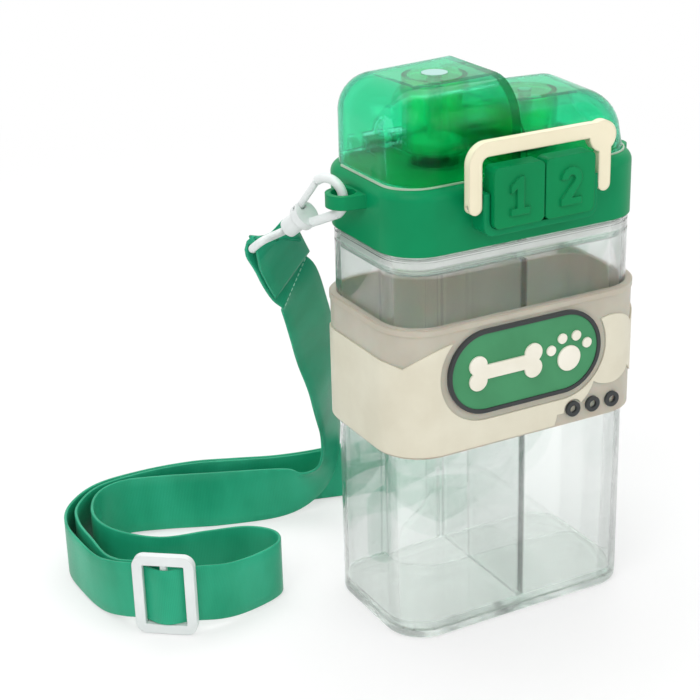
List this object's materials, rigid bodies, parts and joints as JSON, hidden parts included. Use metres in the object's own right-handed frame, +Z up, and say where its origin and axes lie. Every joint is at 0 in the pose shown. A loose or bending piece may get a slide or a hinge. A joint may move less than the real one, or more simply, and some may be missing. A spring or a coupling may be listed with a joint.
{
  "type": "dog travel water bottle",
  "caption": "Clear divided travel bottle for pets with a rubber sleeve, a green lid with sprung spout covers, release buttons, a locking bail and a webbing shoulder strap on swivel hooks",
  "frame": {"origin": "centre of the flat base of the tank, on the surface it stands on", "axes": "+Z up the bottle, -Y the front with the buttons and the badge, +X the bottle's right"},
  "size_m": [0.2243, 0.1604, 0.2125],
  "materials": {
    "clear_tank": "clear, polished",
    "sleeve_grey": "matte silicone rubber",
    "sleeve_cream": "matte silicone rubber, raised",
    "badge_green": "matte silicone rubber",
    "badge_dark": "matte silicone rubber",
    "badge_cream": "matte silicone rubber",
    "lid_green": "satin moulded plastic",
    "button_green": "satin moulded plastic",
    "clear_insert": "clear, lightly frosted",
    "seal": "soft seal rubber",
    "steel": "drawn steel",
    "cover_green": "clear tinted, polished",
    "plug": "milky soft rubber",
    "cream": "satin moulded plastic",
    "white": "satin moulded plastic",
    "webbing": "woven satin webbing"
  },
  "bodies": {
    "tank": {"tank_base": "clear_tank", "tank_shell": "clear_tank", "sleeve_band": "sleeve_grey", "sleeve_panels": "sleeve_cream", "badge_plaque": "badge_green", "badge_outline": "badge_dark", "badge_motif": "badge_cream", "sleeve_dots": "badge_dark"},
    "lid": {"lid_collar": "lid_green", "lid_insert": "clear_insert", "lid_gasket": "seal", "divider_seal": "seal", "left_hinge_pin": "steel", "right_hinge_pin": "steel", "left_dome_spring": "steel", "right_dome_spring": "steel", "left_button_spring": "steel", "right_button_spring": "steel", "bail_pins": "steel", "left_strap_ring": "white", "right_strap_ring": "white", "strap_slider": "white", "strap_long": "webbing", "strap_return": "webbing"},
    "left_dome": {"left_dome": "cover_green", "left_plug": "plug"},
    "right_dome": {"right_dome": "cover_green", "right_plug": "plug"},
    "left_button": {"left_button": "button_green"},
    "right_button": {"right_button": "button_green"},
    "bail": {"bail": "cream"},
    "left_hook": {"left_hook": "white"},
    "left_gate": {"left_gate": "white"},
    "right_hook": {"right_hook": "white"},
    "right_gate": {"right_gate": "white"}
  },
  "joints": [
    {"name": "lid_lift", "type": "slide", "parent": "tank", "child": "lid", "axis": [0, 0, 1], "range_m": [0, 0.06]},
    {"name": "left_cover_hinge", "type": "hinge", "parent": "lid", "child": "left_dome", "pos_m": [0, 0.0258, 0.1827], "axis": [-1, 0, 0], "range_deg": [0, 100]},
    {"name": "left_button_press", "type": "slide", "parent": "lid", "child": "left_button", "axis": [0, 1, 0], "range_m": [0, 0.0022], "stiffness_N_per_m": 400, "springref_m": -0.001},
    {"name": "right_cover_hinge", "type": "hinge", "parent": "lid", "child": "right_dome", "pos_m": [0, 0.0258, 0.1827], "axis": [-1, 0, 0], "range_deg": [0, 100]},
    {"name": "right_button_press", "type": "slide", "parent": "lid", "child": "right_button", "axis": [0, 1, 0], "range_m": [0, 0.0022], "stiffness_N_per_m": 400, "springref_m": -0.001},
    {"name": "bail_hinge", "type": "hinge", "parent": "lid", "child": "bail", "pos_m": [0, -0.0376, 0.1734], "axis": [1, 0, 0], "range_deg": [0, 170]},
    {"name": "left_hook_swivel", "type": "hinge", "parent": "lid", "child": "left_hook", "pos_m": [-0.06073, 0.00739, 0.17112], "axis": [0.3355, -0.7034, 0.6266], "range_deg": [-15, 15]},
    {"name": "left_gate_hinge", "type": "hinge", "parent": "left_hook", "child": "left_gate", "pos_m": [-0.06639, 0.01926, 0.1653], "axis": [0.9026, 0.4305, 0], "range_deg": [0, 20], "stiffness_Nm_per_rad": 0.01, "springref_deg": -11.46},
    {"name": "right_hook_swivel", "type": "hinge", "parent": "lid", "child": "right_hook", "pos_m": [0.05861, 0.00799, 0.17136], "axis": [-0.1473, -0.8352, 0.5299], "range_deg": [-15, 15]},
    {"name": "right_gate_hinge", "type": "hinge", "parent": "right_hook", "child": "right_gate", "pos_m": [0.061, 0.02153, 0.16714], "axis": [0.9848, -0.1736, 0], "range_deg": [0, 20], "stiffness_Nm_per_rad": 0.01, "springref_deg": -11.46}
  ]
}
